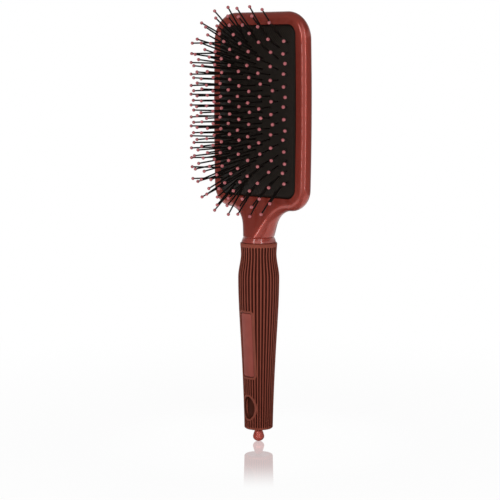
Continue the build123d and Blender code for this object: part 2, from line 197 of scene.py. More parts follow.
def bowed_half(
    half_width: float, low: float, high: float, bow: float, foot_r: float, top_r: float
) -> Outline:
    """Right half of an upright panel with a bowed side and round corners.

    Args:
        half_width: Half width at mid height.
        low: Height of the foot.
        high: Height of the top.
        bow: How far the side bows out at mid height.
        foot_r: Radius of the lower corner.
        top_r: Radius of the upper corner.

    Returns:
        The outline from the middle of the foot, anticlockwise, to the middle of the top.
    """
    middle, half = (low + high) / 2, (high - low) / 2
    side_r = (half * half + bow * bow) / (2 * bow)
    side_x = half_width - side_r
    corners = []
    for height, radius in ((low + foot_r, foot_r), (high - top_r, top_r)):
        corners.append((side_x + sqrt((side_r - radius) ** 2 - (height - middle) ** 2), height))
    turns = [atan2(z - middle, x - side_x) for x, z in corners]
    return Outline((
        Run((0.0, low), (corners[0][0], low)),
        Arc(corners[0], foot_r, -pi / 2, turns[0]),
        Arc((side_x, middle), side_r, turns[0], turns[1]),
        Arc(corners[1], top_r, turns[1], pi / 2),
        Run((corners[1][0], high), (0.0, high)),
    ))


# ---- mesh making ----


def bent_grid(columns: int, rows: int, place: Place) -> BMesh:
    """Bend a flat grid to a surface.

    Args:
        columns: Faces across.
        rows: Faces up.
        place: Gives the point for a share across and a share up, each 0 to 1.

    Returns:
        The bent grid, with points that meet merged.
    """
    mesh = bmesh.new()
    bmesh.ops.create_grid(mesh, x_segments=columns, y_segments=rows, size=0.5)
    for vert in mesh.verts:
        vert.co = place(vert.co.x + 0.5, vert.co.y + 0.5)
    bmesh.ops.remove_doubles(mesh, verts=mesh.verts[:], dist=MERGE)
    return mesh


def spun(outline: Pairs, steps: int) -> BMesh:
    """Turn an outline about the handle's axis.

    Args:
        outline: (radius, height) pairs; a closed ring repeats its first pair.
        steps: Faces round the turn.

    Returns:
        The turned surface.
    """
    mesh = bmesh.new()
    verts = [mesh.verts.new((radius, 0, height)) for radius, height in outline]
    edges = [mesh.edges.new(pair) for pair in zip(verts, verts[1:])]
    bmesh.ops.spin(
        mesh, geom=verts + edges, cent=(0, 0, 0), axis=(0, 0, 1), angle=2 * pi, steps=steps, use_merge=True
    )
    bmesh.ops.remove_doubles(mesh, verts=mesh.verts[:], dist=MERGE)
    return mesh


def bevel(mesh: BMesh, geom: list[BMEdge | BMVert], offset: float, segments: int = 3) -> None:
    """Round off edges, or the corners at a flat panel's points, with a few faces across the round."""
    affect = "VERTICES" if isinstance(geom[0], BMVert) else "EDGES"
    bmesh.ops.bevel(
        mesh, geom=geom, offset=offset, segments=segments, profile=0.5, affect=affect, material=-1
    )


def new_verts(extruded: dict) -> list[BMVert]:
    """Points that an extrusion made."""
    return [item for item in extruded["geom"] if isinstance(item, BMVert)]


def rounded_panel(width: float, height: float, corner: float, pitch: float) -> BMesh:
    """Upright panel with round corners, cut into small faces so that it can be bent.

    Args:
        width: Size along X.
        height: Size along Z.
        corner: Corner radius.
        pitch: Size of the small faces.

    Returns:
        The panel in the XZ plane, about the origin.
    """
    mesh = bmesh.new()
    bmesh.ops.create_grid(mesh, x_segments=1, y_segments=1, size=0.5)
    for vert in mesh.verts:
        vert.co = (vert.co.x * width, 0, vert.co.y * height)
    bevel(mesh, mesh.verts[:], corner, segments=10)
    for axis, size in ((0, width), (2, height)):
        for step in range(1, round(size / pitch)):
            middle, normal = Vector(), Vector()
            middle[axis] = step * pitch - size / 2
            normal[axis] = 1
            if abs(middle[axis]) < size / 2:
                cut = mesh.verts[:] + mesh.edges[:] + mesh.faces[:]
                bmesh.ops.bisect_plane(mesh, geom=cut, dist=MERGE / 10, plane_co=middle, plane_no=normal)
    return mesh


def rim_edges(mesh: BMesh) -> list[BMEdge]:
    """Edges with a face on one side only."""
    return [edge for edge in mesh.edges if edge.is_boundary]


def middle_of(edge: BMEdge) -> Vector:
    """Middle of an edge."""
    return (edge.verts[0].co + edge.verts[1].co) / 2


def shown(name: str, data: bpy.types.ID) -> Object:
    """Put a mesh, lamp or camera into the scene, at the origin."""
    made = bpy.data.objects.new(name, data)
    bpy.context.scene.collection.objects.link(made)
    return made


def meshed(name: str, mesh: BMesh, material: Material) -> Object:
    """Turn a mesh, which is used up, into an object of one material."""
    data = bpy.data.meshes.new(name)
    mesh.to_mesh(data)
    mesh.free()
    data.materials.append(material)
    return shown(name, data)


def piece(name: str, mesh: BMesh, material: Material, crease: float) -> Object:
    """Turn a finished mesh into a shown piece with its faces outwards.

    Args:
        name: The piece's plain name.
        mesh: Its mesh, which is used up.
        material: Its finish.
        crease: Edges that turn by more than this many degrees look sharp.

    Returns:
        The new object, at the origin.
    """
    bmesh.ops.recalc_face_normals(mesh, faces=mesh.faces[:])
    made = meshed(name, mesh, material)
    made.data.shade_smooth()
    made.data.set_sharp_from_angle(angle=radians(crease))
    LOG.info("%s: %d faces", name, len(made.data.polygons))
    return made


# ---- finishes ----


def operator(operation: str, swapped: bool = False) -> Callable[..., "Wire"]:
    """Operator of a wire that adds one Math node; swapped puts the wire last, as in 1 - wire."""
    def apply(wire: "Wire", *others: "Wire | float") -> "Wire":
        values = (*others, wire) if swapped else (wire, *others)
        return wire.graph.math(operation, *values)

    return apply


class Wire:
    """A shader output that takes part in arithmetic."""

    __add__ = __radd__ = operator("ADD")
    __sub__, __rsub__ = operator("SUBTRACT"), operator("SUBTRACT", swapped=True)
    __mul__ = __rmul__ = operator("MULTIPLY")
    __pow__ = operator("POWER")
    __abs__ = operator("ABSOLUTE")
    sine = operator("SINE")
    larger = operator("MAXIMUM")

    def __init__(self, graph: "Graph", socket: NodeSocket) -> None:
        """Wrap one output of a graph's node."""
        self.graph = graph
        self.socket = socket

    def step(self, low: float, high: float) -> "Wire":
        """Smooth step of this, from 0 at low to 1 at high."""
        inputs = {0: self, 1: low, 2: high, 3: 0.0, 4: 1.0}
        return self.graph.node("MapRange", inputs, interpolation_type="SMOOTHSTEP")


class Graph:
    """Node graph of one material or world."""

    def __init__(self, owner: Material | World) -> None:
        """Start an empty graph for its owner."""
        owner.use_nodes = True
        self.owner = owner
        self.tree = owner.node_tree
        self.tree.nodes.clear()

    def node(self, kind: str, inputs: dict | None = None, output: int = 0, **settings: str) -> Wire:
        """Add one node.

        Args:
            kind: Blender's name of the node type, after ShaderNode.
            inputs: Wires or plain values by socket name or number.
            output: Number of the output to hand back.
            **settings: Properties, which are set first.

        Returns:
            The wrapped output.
        """
        made = self.tree.nodes.new("ShaderNode" + kind)
        for key, value in settings.items():
            setattr(made, key, value)
        for key, value in (inputs or {}).items():
            if isinstance(value, Wire):
                self.tree.links.new(value.socket, made.inputs[key])
            else:
                made.inputs[key].default_value = value
        return Wire(self, made.outputs[output] if made.outputs else None)

    def math(self, operation: str, *values: Wire | float) -> Wire:
        """One Math node on wires and numbers."""
        return self.node("Math", dict(enumerate(values)), operation=operation)

    def place(self) -> Wire:
        """Object coordinates, which are the part's own metres."""
        return self.node("TexCoord", output=3)

    def axes(self) -> tuple[Wire, Wire, Wire]:
        """X, Y and Z of the object coordinates."""
        split = self.node("SeparateXYZ", {0: self.place()}).socket.node
        return tuple(Wire(self, socket) for socket in split.outputs)

    def rays(self) -> tuple[Wire, Wire]:
        """Whether the ray comes from the camera, and whether from a glossy surface."""
        path = self.node("LightPath").socket.node.outputs
        return Wire(self, path["Is Camera Ray"]), Wire(self, path["Is Glossy Ray"])

    def noise(self, pitch: float, detail: float = 3.0, place: Wire | None = None) -> Wire:
        """Noise of 0 to 1 with waves of about the given pitch."""
        return self.node("TexNoise", {"Vector": place or self.place(), "Scale": 1 / pitch, "Detail": detail})

    def blend(self, share: Wire, first: Colour, last: Colour) -> Wire:
        """Colour between two others."""
        return self.node("Mix", {0: share, 6: (*first, 1.0), 7: (*last, 1.0)}, 2, data_type="RGBA")

    def bump(self, height: Wire, depth: float) -> Wire:
        """Normal that follows a height, with the given depth in metres at a height of 1."""
        return self.node("Bump", {"Height": height, "Distance": depth})


@dataclass(frozen=True)
class Finish:
    """Procedural material with one Principled shader."""

    name: str
    colour: Colour

    def sockets(self, graph: Graph) -> dict:
        """Values and wires for the shader's sockets, by name."""
        raise NotImplementedError

    def build(self) -> Material:
        """Make the material."""
        graph = Graph(bpy.data.materials.new(self.name))
        graph.node("OutputMaterial", {0: graph.node("BsdfPrincipled", self.sockets(graph))})
        return graph.owner


@dataclass(frozen=True)
class Lacquer(Finish):
    """Metallic lacquer: coloured flakes under a clear coat."""

    deep: Colour
    metallic: float = 0.38
    roughness: float = 0.26
    specular: float = 0.1
    coat: float = 0.5
    coat_roughness: float = 0.03
    flake_pitch: float = 0.16 * MM
    flake_share: float = 0.4
    cloud_pitch: float = 30 * MM
    unevenness: float = 0.06

    def sockets(self, graph: Graph) -> dict:
        """Values and wires for the shader's sockets."""
        flakes = graph.noise(self.flake_pitch, 1.0)
        clouds = graph.noise(self.cloud_pitch, 2.0)
        shade = flakes.step(0.3, 0.8) * self.flake_share + clouds * (1 - self.flake_share)
        return {
            "Base Color": graph.blend(shade, self.deep, self.colour),
            "Metallic": self.metallic,
            "Roughness": self.roughness + (flakes - 0.5) * self.unevenness,
            "Specular IOR Level": self.specular,
            "Coat Weight": self.coat,
            "Coat Roughness": self.coat_roughness,
        }


@dataclass(frozen=True)
class RibbedRubber(Finish):
    """Soft-touch rubber of the grip, duller down in its grooves, where painted shade darkens its colour."""

    groove_shade: Colour
    roughness: float = 0.5
    groove_start: float = 0.15
    groove_full: float = 0.5
    dust_share: float = 0.08
    dust_pitch: float = 9 * MM
    skin_pitch: float = 0.28 * MM
    skin_depth: float = 0.01 * MM

    def sockets(self, graph: Graph) -> dict:
        """Values and wires for the shader's sockets."""
        depth = graph.node("Attribute", output=2, attribute_name=RIB_LAYER)
        dust = graph.noise(self.dust_pitch)
        # Painted shade: the colour darkens towards the groove colour with the groove's depth; a little real
        # dust noise is mixed in.
        groove_shade = depth.step(self.groove_start, self.groove_full)
        share = groove_shade * (1 - self.dust_share) + dust * self.dust_share
        return {
            "Base Color": graph.blend(share, self.colour, self.groove_shade),
            "Roughness": self.roughness + share * 0.25 + (dust - 0.5) * 0.1,
            "Specular IOR Level": 0.06,
            "Normal": graph.bump(graph.noise(self.skin_pitch), self.skin_depth),
        }


@dataclass(frozen=True)
class WovenRubber(Finish):
    """Black rubber membrane moulded with a fine diamond texture, with a painted sheen greying the diamonds'
    crests.
    """

    crest_sheen: Colour
    pitch: float = 1.25 * MM
    depth: float = 0.09 * MM
    dust_pitch: float = 14 * MM
    roughness: float = 0.6

    def sockets(self, graph: Graph) -> dict:
        """Values and wires for the shader's sockets."""
        x, _, z = graph.axes()
        rate = pi / self.pitch
        threads = abs(((x + z) * rate).sine()) * abs(((x - z) * rate).sine())
        dust = graph.noise(self.dust_pitch)
        # Painted sheen: the diamonds' crests are greyed, unevenly by a noise.
        share = threads.step(0.5, 1.0) * (dust * 0.5 + 0.5)
        return {
            "Base Color": graph.blend(share, self.colour, self.crest_sheen),
            "Roughness": self.roughness - share * 0.15,
            "Specular IOR Level": 0.09,
            "Normal": graph.bump(threads, self.depth),
        }


@dataclass(frozen=True)
class Moulded(Finish):
    """Moulded plastic or rubber: slight clouding of its colour and a fine skin."""

    faded: Colour
    roughness: float = 0.4
    specular: float = 0.4
    coat: float = 0.0
    cloud_pitch: float = 6 * MM
    skin_pitch: float = 0.35 * MM
    skin_depth: float = 0.004 * MM
    unevenness: float = 0.12

    def sockets(self, graph: Graph) -> dict:
        """Values and wires for the shader's sockets."""
        clouds = graph.noise(self.cloud_pitch)
        return {
            "Base Color": graph.blend(clouds.step(0.2, 0.8), self.colour, self.faded),
            "Roughness": self.roughness + (clouds - 0.5) * self.unevenness,
            "Specular IOR Level": self.specular,
            "Coat Weight": self.coat,
            "Coat Roughness": 0.08,
            "Normal": graph.bump(graph.noise(self.skin_pitch, 2.0), self.skin_depth),
        }


@dataclass(frozen=True)
class Steel(Finish):
    """Drawn and polished steel rod with faint rings."""

    shade: float = 0.8
    waves: tuple[float, float, float] = (400.0, 400.0, 9000.0)
    roughness: float = 0.18
    unevenness: float = 0.15
    ring_depth: float = 0.002 * MM

    def sockets(self, graph: Graph) -> dict:
        """Values and wires for the shader's sockets."""
        rings = graph.noise(1.0, place=graph.node("Mapping", {0: graph.place(), 3: self.waves}))
        return {
            "Base Color": graph.blend(rings, self.colour, tuple(self.shade * c for c in self.colour)),
            "Metallic": 1.0,
            "Roughness": self.roughness + rings * self.unevenness,
            "Normal": graph.bump(rings, self.ring_depth),
        }


class Finishes:
    """Every finish of the brush, made once."""

    def __init__(self) -> None:
        """Make the materials."""
        self.paint = Lacquer("copper_red_lacquer", rgb(146, 56, 44), rgb(130, 49, 38)).build()
        self.ring = Lacquer(
            "collar_lacquer", rgb(150, 57, 45), rgb(134, 50, 39), 0.25, 0.4, coat=1.0, coat_roughness=0.12
        ).build()
        self.knob = Lacquer(
            "knob_lacquer", rgb(180, 78, 66), rgb(166, 68, 56), 0.3, 0.4, coat=0.4, coat_roughness=0.15
        ).build()
        # The grip rubber's second colour is painted shade for the bottoms of the ribs' grooves.
        self.rubber = RibbedRubber("grip_rubber", rgb(130, 66, 52), rgb(40, 8, 3)).build()
        self.rim = Moulded("grip_rim_rubber", rgb(124, 64, 50), rgb(116, 58, 45), 0.55, 0.14).build()
        # Painted shade: the recess lining is coloured darker than the grip's rubber, for the shade inside the
        # recess.
        self.shaded_cup = Moulded("recess_rubber_shaded", rgb(86, 40, 27), rgb(74, 33, 22), 0.6, 0.12).build()
        # The cushion's second colour is painted sheen on the diamonds' crests.
        self.cushion = WovenRubber("cushion_rubber", rgb(7, 5, 4), rgb(74, 61, 50)).build()
        self.label = Moulded("label_satin", rgb(140, 69, 60), rgb(134, 65, 56), 0.45, 0.1, 0.02).build()
        self.pin = Moulded("pin_nylon", rgb(18, 14, 12), rgb(24, 19, 16), 0.5, 0.08).build()
        self.tip = Moulded("tip_nylon", rgb(176, 96, 100), rgb(160, 84, 88), 0.3, 0.45).build()
        self.core = Moulded("core_plastic", rgb(58, 30, 22), rgb(48, 24, 18), 0.45, 0.4).build()
        self.foam = Moulded(
            "foam_sheet", rgb(40, 40, 42), rgb(52, 52, 54), 0.9, 0.1, skin_depth=0.05 * MM
        ).build()
        self.seal = Moulded("ring_rubber", rgb(24, 24, 24), rgb(34, 34, 34), 0.6, 0.3).build()
        self.steel = Steel("polished_steel", rgb(205, 205, 208)).build()


# ---- head ----


@dataclass
class PaintedHead:
    """Head and neck in one lacquered moulding, with the cushion's pocket."""

    finish: Material
    half_width: float
    top: float
    collar_top: float
    height: float = 112.8 * MM
    half_thickness: float = 4.12 * MM
    set_back: float = 2.43 * MM
    top_corner: float = 16.4 * MM
    foot_corner: float = 12.6 * MM
    side_bow: float = 1.0 * MM
    neck_r: float = 9.05 * MM
    neck_angle: float = radians(18.0)
    neck_fillet: float = 14.0 * MM
    neck_thin: float = 27.0 * MM
    neck_power: float = 1.8
    upright: float = 10.0 * MM
    flat_share: float = 0.3
    mouth_half_width: float = 30.2 * MM
    mouth_height: float = 98.3 * MM
    mouth_corner: float = 6.0 * MM
    mouth_bow: float = 0.7 * MM
    mouth_down: float = 7.5 * MM
    mouth_round: float = 0.35 * MM
    foot_round: float = 0.3 * MM
    pocket_depth: float = 6.09 * MM
    tang_r: float = 5.5 * MM
    tang_length: float = 21.0 * MM
    back_share: float = 0.84
    faces_across: int = 52
    faces_along: int = 300
    round_steps: int = 3

    def __post_init__(self) -> None:
        """Lay out the head's outline and the line that its front and back end on."""
        self.foot = self.top - self.height
        self.mouth_top = self.top - self.mouth_down
        self.mouth_foot = self.mouth_top - self.mouth_height
        self.mouth_middle = (self.mouth_top + self.mouth_foot) / 2
        self.front = self.set_back - self.half_thickness
        head = bowed_half(
            self.half_width, self.foot, self.top, self.side_bow, self.foot_corner, self.top_corner
        )
        self.mouth = bowed_half(
            self.mouth_half_width, self.mouth_foot, self.mouth_top, self.mouth_bow,
            self.mouth_corner, self.mouth_corner,
        )
        corner = head.parts[1]
        along = Vector((sin(self.neck_angle), cos(self.neck_angle)))
        across = Vector((cos(self.neck_angle), -sin(self.neck_angle)))
        start = Vector((self.neck_r, self.collar_top))
        gap = Vector(corner.centre) - (start + self.neck_fillet * across)
        middle = gap.dot(along)
        travel = middle - sqrt(middle**2 - gap.length_squared + (self.neck_fillet + self.foot_corner) ** 2)
        end = start + travel * along
        centre = end + self.neck_fillet * across
        meet = atan2(corner.centre[1] - centre.y, corner.centre[0] - centre.x)
        self.outline = Outline((
            Run(tuple(start), tuple(end)),
            Arc(tuple(centre), self.neck_fillet, pi - self.neck_angle, meet),
            Arc(corner.centre, corner.radius, meet - pi, corner.end),
            *head.parts[2:],
        ))
        edge, mouth = self.outline, self.mouth
        # Places on the outline, each with the place on the mouth that it faces.
        self.keys = [
            (0.0, -1.0),
            (edge.within(1, 0.55), 0.0),
            (edge.within(2, 0.0), mouth.within(0, 0.62)),
            (edge.within(2, 0.5), mouth.within(1, 0.5)),
            (edge.within(4, 0.5), mouth.within(3, 0.5)),
            (edge.length, mouth.length),
        ]

    def thinning(self, height: float) -> float:
        """How round the section still is: 1 at the collar, 0 at the head."""
        return max(0.0, 1 - (height - self.collar_top) / self.neck_thin) ** self.neck_power

    def half_depth(self, height: float) -> float:
        """Half depth of the moulding at one height."""
        return mix(self.half_thickness, self.neck_r, self.thinning(height))

    def spine(self, travel: float, behind: bool) -> Vector:
        """Point inside the outline where the front or the back face ends.

        Args:
            travel: Distance along the head's outline.
            behind: True for the back face.

        Returns:
            The (x, z) point: up the middle of the neck, then round the mouth.
        """
        share = self.back_share if behind else 1.0
        foot = mix(self.mouth_middle, self.mouth_foot, share)
        for (low, first), (high, last) in zip(self.keys, self.keys[1:]):
            if travel <= high:
                local = (travel - low) / (high - low)
                if first < 0:
                    return Vector((0.0, mix(self.collar_top, foot, local)))
                point, _ = self.mouth.at(mix(first, last, local))
                return Vector((point.x * share, mix(self.mouth_middle, point.y, share)))
        return Vector((0.0, mix(self.mouth_middle, self.mouth_top, share)))

    def point(self, across: float, along: float) -> Vector:
        """Point of the right half of the skin.

        Args:
            across: 0 on the front at the mouth, 0.5 on the edge, 1 on the back.
            along: 0 at the collar, 1 at the middle of the top.

        Returns:
            The point.
        """
        flat = self.flat_share
        travel = along * self.outline.length
        edge, inward = self.outline.at(travel)
        tilt = smooth(self.collar_top, self.collar_top + self.upright, edge.y)
        inward = Vector((-1.0, 0.0)).lerp(inward, tilt).normalized()
        depth = self.half_depth(edge.y)
        behind = across > 0.5
        share = 2 * (1 - across if behind else across)
        if share < flat:
            shoulder = edge + inward * depth
            spot = self.spine(travel, behind).lerp(shoulder, share / flat)
            level = 1.0
        else:
            turn = pi / 2 * (1 - (share - flat) / (1 - flat))
            spot = edge + inward * depth * (1 - cos(turn))
            level = sin(turn)
        centre = self.set_back * (1 - self.thinning(spot.y))
        offset = self.half_depth(spot.y) * level
        return Vector((max(0.0, spot.x), centre + (offset if behind else -offset), spot.y))

    def build(self) -> Object:
        """Make the head: its skin, the cushion's pocket and the tang."""
        mesh = bent_grid(self.faces_across, self.faces_along, self.point)
        skin = mesh.verts[:] + mesh.edges[:] + mesh.faces[:]
        bmesh.ops.mirror(mesh, geom=skin, axis="X", merge_dist=MERGE)
        bmesh.ops.remove_doubles(mesh, verts=mesh.verts[:], dist=MERGE)
        bmesh.ops.dissolve_degenerate(mesh, edges=mesh.edges[:], dist=MERGE)
        mouth = [
            edge for edge in rim_edges(mesh)
            if middle_of(edge).z > self.mouth_foot - MM and middle_of(edge).y < 0
        ]
        foot = list({vert for edge in self.foot_rim(mesh) for vert in edge.verts})
        bmesh.ops.translate(mesh, verts=foot, vec=(0, 0, self.foot_round))
        wall = new_verts(bmesh.ops.extrude_edge_only(mesh, edges=mouth))
        bmesh.ops.translate(mesh, verts=wall, vec=(0, self.pocket_depth, 0))
        bevel(mesh, mouth, self.mouth_round)
        for radius, height in self.foot_rings():
            for vert in new_verts(bmesh.ops.extrude_edge_only(mesh, edges=self.foot_rim(mesh))):
                side = vert.co.xy.normalized() * radius
                vert.co = (side.x, side.y, height)
        bmesh.ops.holes_fill(mesh, edges=rim_edges(mesh), sides=0)
        return piece("painted_head", mesh, self.finish, 35.0)

    def foot_rings(self) -> Pairs:
        """Radii and heights from the neck's rounded foot down to the tang's end."""
        inner, low = self.neck_r - self.foot_round, self.collar_top
        rounded = [
            (inner + self.foot_round * cos(turn), low + self.foot_round * (1 - sin(turn)))
            for turn in spread(0.0, pi / 2, self.round_steps)[1:]
        ]
        return [*rounded, (self.tang_r, low), (self.tang_r, low - self.tang_length)]

    def foot_rim(self, mesh: BMesh) -> list[BMEdge]:
        """Edges of the open rim at the foot."""
        return [edge for edge in rim_edges(mesh) if middle_of(edge).z < self.collar_top + MM]


@dataclass
class Cushion:
    """Domed rubber membrane in the head's mouth."""

    finish: Material
    head: PaintedHead
    rise: float = 11.65 * MM
    across_power: float = 2.0
    along_power: float = 5.0
    membrane: float = 1.2 * MM
    gap: float = 0.12 * MM
    edge_round: float = 0.9 * MM
    wall: float = 1.4 * MM
    press: float = 4.5 * MM
    pitch: float = 1.4 * MM

    def dome(self, x: float, z: float) -> float:
        """How far the membrane stands in front of the head at one place."""
        head = self.head
        across = min(1.0, abs(x) / head.mouth_half_width)
        along = min(1.0, abs(z - head.mouth_middle) / (head.mouth_height / 2))
        return self.rise * (1 - across**self.across_power) * (1 - along**self.along_power)

    def inside(self, x: float, z: float) -> float:
        """Distance of a place inside the mouth from the mouth's edge."""
        head = self.head
        half = head.mouth_height / 2
        up = z - head.mouth_middle
        half_width = head.mouth_half_width - head.mouth_bow * (up / half) ** 2
        return -past_panel(x, up, half_width, half, head.mouth_corner)

    def build(self) -> Object:
        """Make the membrane."""
        head = self.head
        half = head.mouth_height / 2
        edge_half = head.mouth_half_width - head.mouth_bow - self.gap
        mesh = rounded_panel(
            2 * edge_half, 2 * (half - self.gap), head.mouth_corner - self.gap, self.pitch
        )
        for vert in mesh.verts:
            x, z = vert.co.x, vert.co.z + head.mouth_middle
            x += head.mouth_bow * (1 - (vert.co.z / half) ** 2) * x / edge_half
            edge = min(self.edge_round, max(0.0, self.inside(x, z) - self.gap))
            drop = self.edge_round - sqrt(self.edge_round**2 - (self.edge_round - edge) ** 2)
            vert.co = (x, head.front + drop - self.dome(x, z), z)
        wall = new_verts(bmesh.ops.extrude_edge_only(mesh, edges=rim_edges(mesh)))
        bmesh.ops.translate(mesh, verts=wall, vec=(0, self.wall, 0))
        bmesh.ops.recalc_face_normals(mesh, faces=mesh.faces[:])
        bmesh.ops.solidify(mesh, geom=mesh.faces[:], thickness=self.membrane)
        made = piece("cushion_membrane", mesh, self.finish, 60.0)
        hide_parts("cushion")
        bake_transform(made)
        return made


# ---- handle ----


@dataclass
class Grip:
    """Ribbed rubber sleeve with its label window, and the oval recess near its foot."""

    finishes: Finishes
    foot: float
    top: float
    belly_r: float
    foot_r: float = 8.35 * MM
    taper_r: float = 10.15 * MM
    waist_r: float = 10.35 * MM
    rim_r: float = 10.75 * MM
    belly_down: float = 20.3 * MM
    waist_down: float = 6.6 * MM
    taper_share: float = 0.52
    foot_round: float = 0.9 * MM
    rim_round: float = 0.5 * MM
    ribs: int = 36
    rib_faces: int = 10
    rib_depth: float = 0.45 * MM
    rib_power: float = 1.25
    rows: int = 150
    round_rows: int = 5
    top_band: float = 2.0 * MM
    top_fade: float = 0.6 * MM
    foot_band: float = 1.0 * MM
    foot_fade: float = 0.8 * MM
    bore_foot: float = 6.35 * MM
    bore_top: float = 8.35 * MM
    window_rim: float = 1.1 * MM
    rim_fade_in: float = 0.2 * MM
    rim_fade_out: float = 0.4 * MM
    rim_rise: float = 0.22 * MM
    rim_root: float = 0.4 * MM
    wall_depth: float = 1.6 * MM
    label_width: float = 9.0 * MM
    label_height: float = 38.2 * MM
    label_corner: float = 1.5 * MM
    label_up: float = 31.3 * MM
    label_sunk: float = 0.35 * MM
    label_thickness: float = 1.1 * MM
    label_gap: float = 0.42 * MM
    label_round: float = 0.2 * MM
    label_pitch: float = 0.6 * MM
    label_bow: float = 0.01 * MM
    recess_width: float = 8.2 * MM
    recess_height: float = 13.4 * MM
    recess_up: float = 6.4 * MM
    recess_floor: float = 3.6 * MM
    recess_gap: float = 0.12 * MM
    cup_spread: float = 0.6
    cup_fullness: float = 0.4

    def __post_init__(self) -> None:
        """Work out the places that the sizes give."""
        belly = self.top - self.belly_down
        taper = mix(self.foot, belly, self.taper_share)
        slope = (self.belly_r - self.foot_r) / (belly - self.foot)
        self.knots = [
            (self.foot, self.foot_r, slope / 2),
            (taper, self.taper_r, slope * 1.3),
            (belly, self.belly_r, 0.0),
            (self.top - self.waist_down, self.waist_r, 0.0),
            (self.top, self.rim_r, 0.0),
        ]
        self.label_middle = self.foot + self.label_up + self.label_height / 2
        self.recess_middle = self.foot + self.recess_up + self.recess_height / 2
        self.groove_turn = pi / self.ribs

    def radius(self, height: float) -> float:
        """Radius over the ribs at one height, on a smooth curve through the knots."""
        for (low, first, out), (high, last, back) in zip(self.knots, self.knots[1:]):
            if height <= high:
                break
        span = high - low
        t = min(1.0, max(0.0, (height - low) / span))
        return (
            first * (1 + 2 * t) * (1 - t) ** 2
            + out * span * t * (1 - t) ** 2
            + last * t * t * (3 - 2 * t)
            + back * span * t * t * (t - 1)
        )

    def past_label(self, x: float, z: float) -> float:
        """Distance of a place on the front outside the label window's edge."""
        half_width, half_height = self.label_width / 2, self.label_height / 2
        return past_panel(x, z - self.label_middle, half_width, half_height, self.label_corner)

    def past_recess(self, x: float, z: float) -> float:
        """Distance of a place on the front outside the recess's edge."""
        up = z - self.recess_middle
        share = max(0.01, hypot(x / (self.recess_width / 2), up / (self.recess_height / 2)))
        return hypot(x, up) * (1 - 1 / share)

    def rib(self, turn: float, height: float) -> float:
        """Depth of the surface under the ribs' crests: 0 on a crest, 1 in a groove."""
        wave = (0.5 + 0.5 * cos(self.ribs * (turn - self.groove_turn))) ** self.rib_power
        low, high = self.foot + self.foot_band, self.top - self.top_band
        band = smooth(low, low + self.foot_fade, height) * (1 - smooth(high - self.top_fade, high, height))
        if sin(turn) < 0:
            x = self.radius(height) * cos(turn)
            clear = min(self.past_label(x, height), self.past_recess(x, height))
            band *= smooth(self.window_rim - self.rim_fade_in, self.window_rim + self.rim_fade_out, clear)
        return wave * band

    def levels(self) -> Pairs:
        """Heights of the sleeve's rows, each with how far its rounded end draws it in."""
        low, high = self.foot + self.foot_round, self.top - self.rim_round
        turns = spread(0.0, pi / 2, self.round_rows)
        return [
            *((low - self.foot_round * cos(turn), self.foot_round * (1 - sin(turn))) for turn in turns[:-1]),
            *((height, 0.0) for height in spread(low, high, self.rows)),
            *((high + self.rim_round * sin(turn), self.rim_round * (1 - cos(turn))) for turn in turns[1:]),
        ]

    def sleeve(self) -> Object:
        """Make the ribbed sleeve with its two windows."""
        levels = self.levels()
        last = len(levels) - 1

        def skin(around: float, up: float) -> Vector:
            height, drawn = levels[round(up * last)]
            turn = 2 * pi * around
            radius = self.radius(height) - drawn - self.rib_depth * self.rib(turn, height)
            return Vector((radius * cos(turn), radius * sin(turn), height))

        mesh = bent_grid(self.ribs * self.rib_faces, last, skin)
        layer = mesh.verts.layers.float.new(RIB_LAYER)
        for vert in mesh.verts:
            vert[layer] = self.rib(atan2(vert.co.y, vert.co.x), vert.co.z)
        cut = []
        for face in mesh.faces:
            spot = face.calc_center_median()
            clear = min(self.past_label(spot.x, spot.z), self.past_recess(spot.x, spot.z))
            if spot.y < 0 and clear < 0.5 * self.window_rim:
                cut.append(face)
        bmesh.ops.delete(mesh, geom=cut, context="FACES")
        for vert in new_verts(bmesh.ops.extrude_face_region(mesh, geom=mesh.faces[:])):
            share = (vert.co.z - self.foot) / (self.top - self.foot)
            bore = vert.co.xy.normalized() * mix(self.bore_foot, self.bore_top, share)
            vert.co = (bore.x, bore.y, vert.co.z)
        made = piece("grip_ribs", mesh, self.finishes.rubber, 50.0)
        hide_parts("grip_sleeve")
        return made

    def on_front(self, x: float, z: float, rise: float) -> Vector:
        """Point on the front of the grip, raised over the ribs' crests."""
        radius = self.radius(z)
        x = max(-radius, min(radius, x))
        return Vector((x, -sqrt(radius * radius - x * x) - rise, z))

    def rim(self, name: str, steps: int, edge: Callable[[float], Spot], inner: tuple[float, float]) -> Object:
        """Make the smooth raised rim round one window.

        Args:
            name: The piece's name.
            steps: Faces round the window.
            edge: Point and outward direction on the window's edge, for a share of the way round.
            inner: Distance outwards and rise of the rim's inner foot.

        Returns:
            The piece.
        """
        bead = [
            (self.window_rim / 2 * (1 - cos(turn)), self.rim_rise * sin(turn)) for turn in spread(0.0, pi, 10)
        ]
        section = [inner, *bead, (self.window_rim, -self.rim_root)]
        last = len(section) - 1

        def skin(around: float, out: float) -> Vector:
            spot, outward = edge(around)
            offset, rise = section[round(out * last)]
            spot = spot + offset * outward
            return self.on_front(spot.x, spot.y, rise)

        return piece(name, bent_grid(steps, last, skin), self.finishes.rim, 60.0)

    def recess_cup(self) -> Object:
        """Make the blind cup that lines the oval recess."""
        middle = Vector((0.0, self.recess_middle))

        def skin(around: float, out: float) -> Vector:
            edge, outward = self.recess_edge(around)
            edge = edge - self.recess_gap * outward
            turn = out * pi / 2
            spot = middle.lerp(edge, sin(turn) ** self.cup_spread)
            front = self.on_front(spot.x, spot.y, 0.0)
            front.y = mix(front.y, -self.recess_floor, cos(turn) ** self.cup_fullness)
            return front

        # The cup's finish is darkened with painted shade.
        return piece("recess_cup", bent_grid(96, 24, skin), self.finishes.shaded_cup, 60.0)

